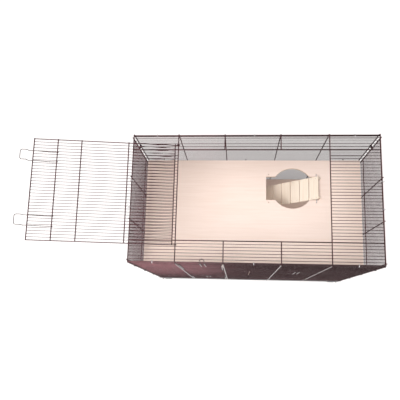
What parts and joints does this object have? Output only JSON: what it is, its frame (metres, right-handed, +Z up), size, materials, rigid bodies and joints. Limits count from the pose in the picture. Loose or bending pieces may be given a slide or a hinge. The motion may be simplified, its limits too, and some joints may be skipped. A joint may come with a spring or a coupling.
{
  "type": "small animal wire cage",
  "caption": "Tall rectangular cage of dark welded wire on a pull-out tray, with board shelves, ramps, a hinged roof door held open and doors in the front.",
  "frame": {"origin": "centre of the footprint, on the surface that the feet stand on", "axes": "+X along the cage to the right, +Y towards its back, +Z up; the front doors face -Y"},
  "size_m": [1.4363, 0.5398, 1.0565],
  "materials": {
    "coated_wire": "powder-coated steel wire, satin black-brown",
    "latch_wire": "bent steel wire with the same dark coating",
    "bright_wire": "zinc-plated bent steel wire",
    "ring_zinc": "bright zinc-plated wire rings",
    "shelf_board": "pale laminated wood board, sealed, slightly pinkish cream",
    "ladder_wood": "bare pale softwood, sanded",
    "tray_plastic": "moulded dark charcoal plastic",
    "foot_plastic": "moulded black plastic",
    "clip_plastic": "moulded dark plastic"
  },
  "bodies": {
    "cage": {"back_panel_bars": "coated_wire", "back_panel_posts": "coated_wire", "back_panel_rails": "coated_wire", "corner_clips_back_left": "clip_plastic", "corner_clips_back_right": "clip_plastic", "corner_clips_front_left": "clip_plastic", "corner_clips_front_right": "clip_plastic", "feet": "foot_plastic", "floor_wires": "coated_wire", "front_panel_bars": "coated_wire", "front_panel_door_frames": "coated_wire", "front_panel_posts": "coated_wire", "front_panel_rails": "coated_wire", "left_panel_bars": "coated_wire", "left_panel_posts": "coated_wire", "left_panel_rails": "coated_wire", "long_rings": "ring_zinc", "lower_ladder_hanger": "bright_wire", "lower_ladder_rails": "ladder_wood", "lower_ladder_treads": "ladder_wood", "lower_shelf": "shelf_board", "lower_shelf_supports": "latch_wire", "right_panel_bars": "coated_wire", "right_panel_posts": "coated_wire", "right_panel_rails": "coated_wire", "roof_panel_bars": "coated_wire", "roof_panel_cross_wires": "coated_wire", "roof_panel_rails": "coated_wire", "side_rings": "ring_zinc", "upper_ladder_hanger": "bright_wire", "upper_ladder_rails": "ladder_wood", "upper_ladder_treads": "ladder_wood", "upper_shelf": "shelf_board", "upper_shelf_supports": "latch_wire"},
    "roof_door": {"roof_door_bars": "coated_wire", "roof_door_cross_wires": "coated_wire", "roof_door_side_wires": "coated_wire"},
    "rear_latch": {"rear_roof_latch": "latch_wire"},
    "front_latch": {"front_roof_latch": "latch_wire"},
    "tray": {"tray": "tray_plastic"},
    "upper_door": {"upper_door_bars": "coated_wire", "upper_door_cross_wires": "coated_wire", "upper_door_side_wires": "coated_wire"},
    "upper_bail": {"upper_door_bail": "latch_wire"},
    "lower_door": {"lower_door_bars": "coated_wire", "lower_door_cross_wires": "coated_wire", "lower_door_side_wires": "coated_wire"},
    "lower_bail": {"lower_door_bail": "latch_wire"},
    "large_door": {"large_door_bars": "coated_wire", "large_door_cross_wires": "coated_wire", "large_door_side_wires": "coated_wire", "large_door_uprights": "coated_wire"},
    "large_bail": {"large_door_bail": "latch_wire"}
  },
  "joints": [
    {"name": "roof_door_hinge", "type": "hinge", "parent": "cage", "child": "roof_door", "pos_m": [-0.31, 0, 0.95055], "axis": [0, -1, 0], "range_deg": [-171.8, 0]},
    {"name": "rear_latch_slide", "type": "slide", "parent": "roof_door", "child": "rear_latch", "axis": [0.9903, 0, -0.1392], "range_m": [0, 0.028]},
    {"name": "front_latch_slide", "type": "slide", "parent": "roof_door", "child": "front_latch", "axis": [0.9903, 0, -0.1392], "range_m": [0, 0.028]},
    {"name": "tray_slide", "type": "slide", "parent": "cage", "child": "tray", "axis": [0, -1, 0], "range_m": [0, 0.3]},
    {"name": "upper_door_hinge", "type": "hinge", "parent": "cage", "child": "upper_door", "pos_m": [-0.215, -0.2614, 0.69175], "axis": [1, 0, 0], "range_deg": [0, 135]},
    {"name": "lower_door_hinge", "type": "hinge", "parent": "cage", "child": "lower_door", "pos_m": [-0.215, -0.2614, 0.09175], "axis": [1, 0, 0], "range_deg": [0, 85]},
    {"name": "large_door_hinge", "type": "hinge", "parent": "cage", "child": "large_door", "pos_m": [0.186, -0.2614, 0.17925], "axis": [1, 0, 0], "range_deg": [0, 95]},
    {"name": "upper_bail_hinge", "type": "hinge", "parent": "upper_door", "child": "upper_bail", "pos_m": [-0.203, -0.2617, 0.80425], "axis": [1, 0, 0], "range_deg": [0, 45]},
    {"name": "lower_bail_hinge", "type": "hinge", "parent": "lower_door", "child": "lower_bail", "pos_m": [-0.215, -0.2617, 0.20425], "axis": [1, 0, 0], "range_deg": [0, 20]},
    {"name": "large_bail_hinge", "type": "hinge", "parent": "large_door", "child": "large_bail", "pos_m": [0.205, -0.2617, 0.52925], "axis": [1, 0, 0], "range_deg": [0, 20]}
  ]
}
